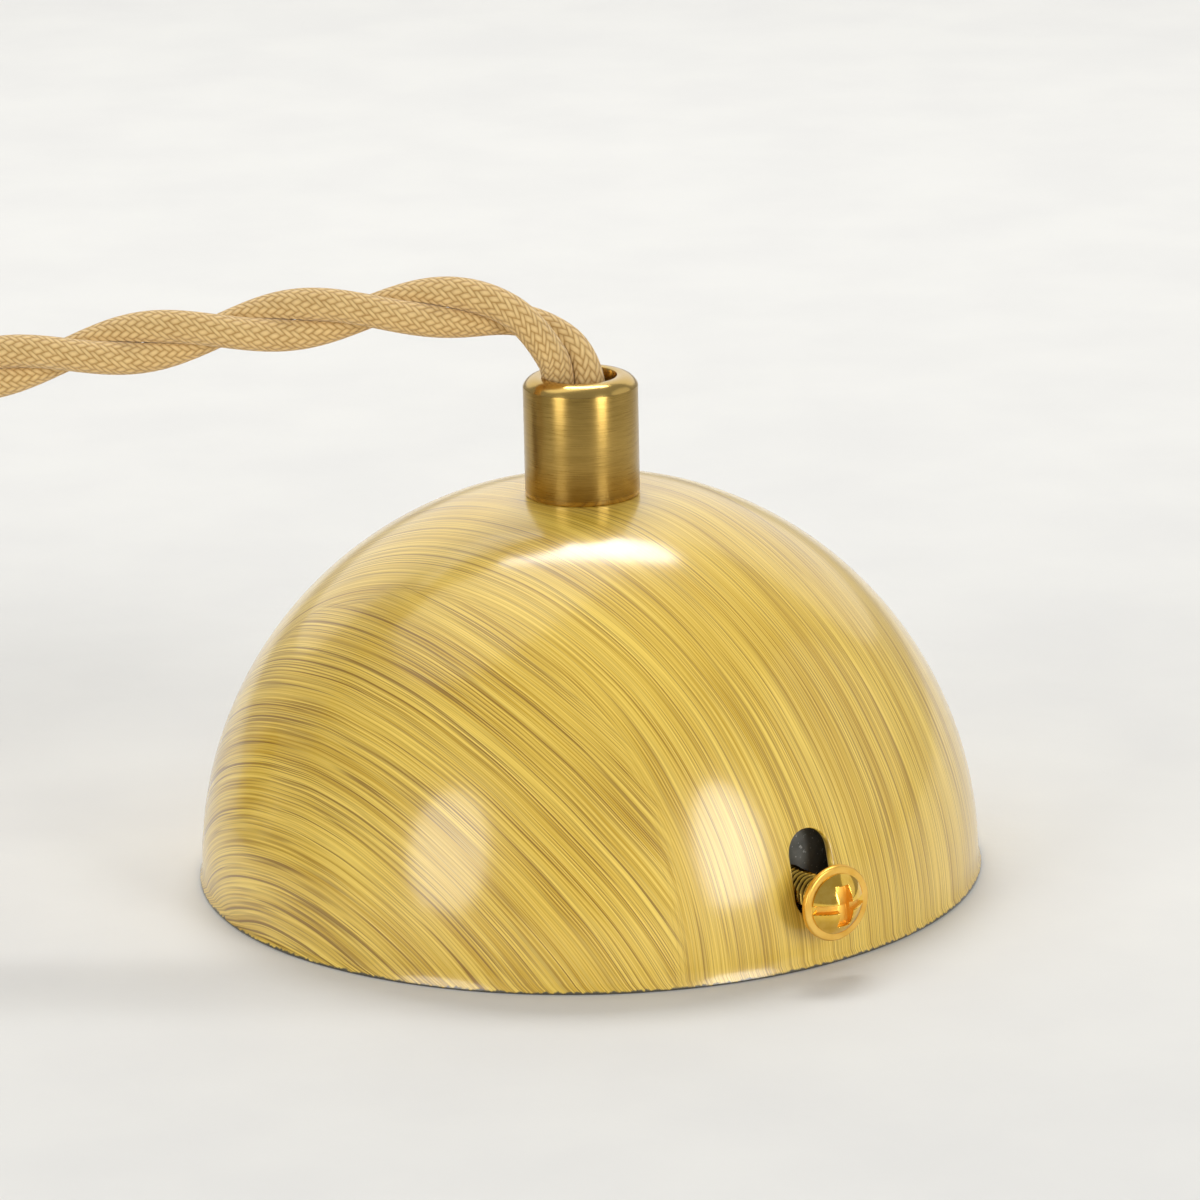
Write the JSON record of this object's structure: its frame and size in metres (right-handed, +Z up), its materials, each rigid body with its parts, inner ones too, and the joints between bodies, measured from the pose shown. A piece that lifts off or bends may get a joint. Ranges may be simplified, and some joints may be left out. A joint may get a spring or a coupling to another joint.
{
  "type": "pendant light",
  "caption": "Domed wood-grain ceiling canopy with slotted side screws and strap bracket, brass cord grip and a twisted fabric cord that ends in a screw-base lampholder.",
  "frame": {"origin": "centre of the canopy's rim plane, which lies on the table", "axes": "+Z up along the canopy's axis towards the cord grip, -X towards where the cord leaves, -Y towards the viewer"},
  "size_m": [0.3192, 0.1008, 0.0697],
  "materials": {
    "wood_grain_paint": "gloss lacquer over brushed cream and tan wood-grain strokes",
    "satin_brass": "satin turned brass with a polished edge",
    "gold_zinc": "bright yellow plated screw steel",
    "black_steel": "dark grey plated strap steel",
    "zinc_steel": "bright zinc plate",
    "nylon": "natural nylon",
    "block_plastic": "white moulded polyamide",
    "contact_brass": "bare contact brass",
    "brown_insulation": "brown wire insulation",
    "blue_insulation": "blue wire insulation",
    "braided_cord": "beige braided textile over two twisted cores",
    "tie_strap": "black flat tie",
    "cream_resin": "cream moulded resin",
    "porcelain": "white glazed porcelain"
  },
  "bodies": {
    "canopy": {"canopy_shell": "wood_grain_paint", "cord_grip_cap": "satin_brass", "cord_collet": "nylon", "threaded_nipple": "zinc_steel", "lock_washer": "zinc_steel", "nipple_nut": "zinc_steel", "cord_entry": "braided_cord", "lead_live": "brown_insulation", "lead_neutral": "blue_insulation", "cord_free": "braided_cord", "cord_coil": "braided_cord", "coil_tie": "tie_strap", "cord_tail": "braided_cord", "holder_grip_cap": "satin_brass", "holder_collet": "nylon", "holder_nipple": "zinc_steel", "holder_lock_washer": "zinc_steel", "holder_nut": "zinc_steel", "holder_cord_entry": "braided_cord", "holder_cover": "satin_brass", "holder_shell": "cream_resin", "holder_insert": "porcelain", "holder_terminal_screws": "zinc_steel", "holder_lead_live": "brown_insulation", "holder_lead_neutral": "blue_insulation", "lamp_thread_shell": "contact_brass", "centre_contact": "contact_brass"},
    "bracket": {"mounting_bracket": "black_steel", "terminal_block": "block_plastic", "terminal_clamps": "contact_brass", "terminal_screws": "zinc_steel", "block_screw": "zinc_steel", "earth_screw": "gold_zinc", "earth_washer": "gold_zinc", "lead_ferrules": "contact_brass"},
    "front_washer": {"side_washer_front": "gold_zinc"},
    "front_screw": {"side_screw_front": "gold_zinc"},
    "rear_washer": {"side_washer_rear": "gold_zinc"},
    "rear_screw": {"side_screw_rear": "gold_zinc"},
    "shade_ring": {"shade_ring": "satin_brass"}
  },
  "joints": [
    {"name": "bracket_slide", "type": "slide", "parent": "canopy", "child": "bracket", "axis": [0, 0, 1], "range_m": [0, 0.0044], "deforming": ["lead_live", "lead_neutral"]},
    {"name": "front_washer_slide", "type": "slide", "parent": "bracket", "child": "front_washer", "axis": [0.5592, -0.829, 0], "range_m": [-0.0026, 0.0029]},
    {"name": "front_screw_turn", "type": "hinge", "parent": "front_washer", "child": "front_screw", "pos_m": [0.02678, -0.03971, 0.0081], "axis": [0.5592, -0.829, 0], "range_deg": [-1340, 1494]},
    {"name": "rear_washer_slide", "type": "slide", "parent": "bracket", "child": "rear_washer", "axis": [-0.5592, 0.829, 0], "range_m": [-0.0026, 0.0029]},
    {"name": "rear_screw_turn", "type": "hinge", "parent": "rear_washer", "child": "rear_screw", "pos_m": [-0.02678, 0.03971, 0.0081], "axis": [-0.5592, 0.829, 0], "range_deg": [-1340, 1494]},
    {"name": "shade_ring_slide", "type": "slide", "parent": "canopy", "child": "shade_ring", "axis": [-1, 0, 0], "range_m": [-0.0045, 0.0265]}
  ],
  "couplings": [
    {"joint": "front_screw_turn", "follows": "front_washer_slide", "rad_per_m": 8976},
    {"joint": "rear_screw_turn", "follows": "rear_washer_slide", "rad_per_m": 8976}
  ]
}
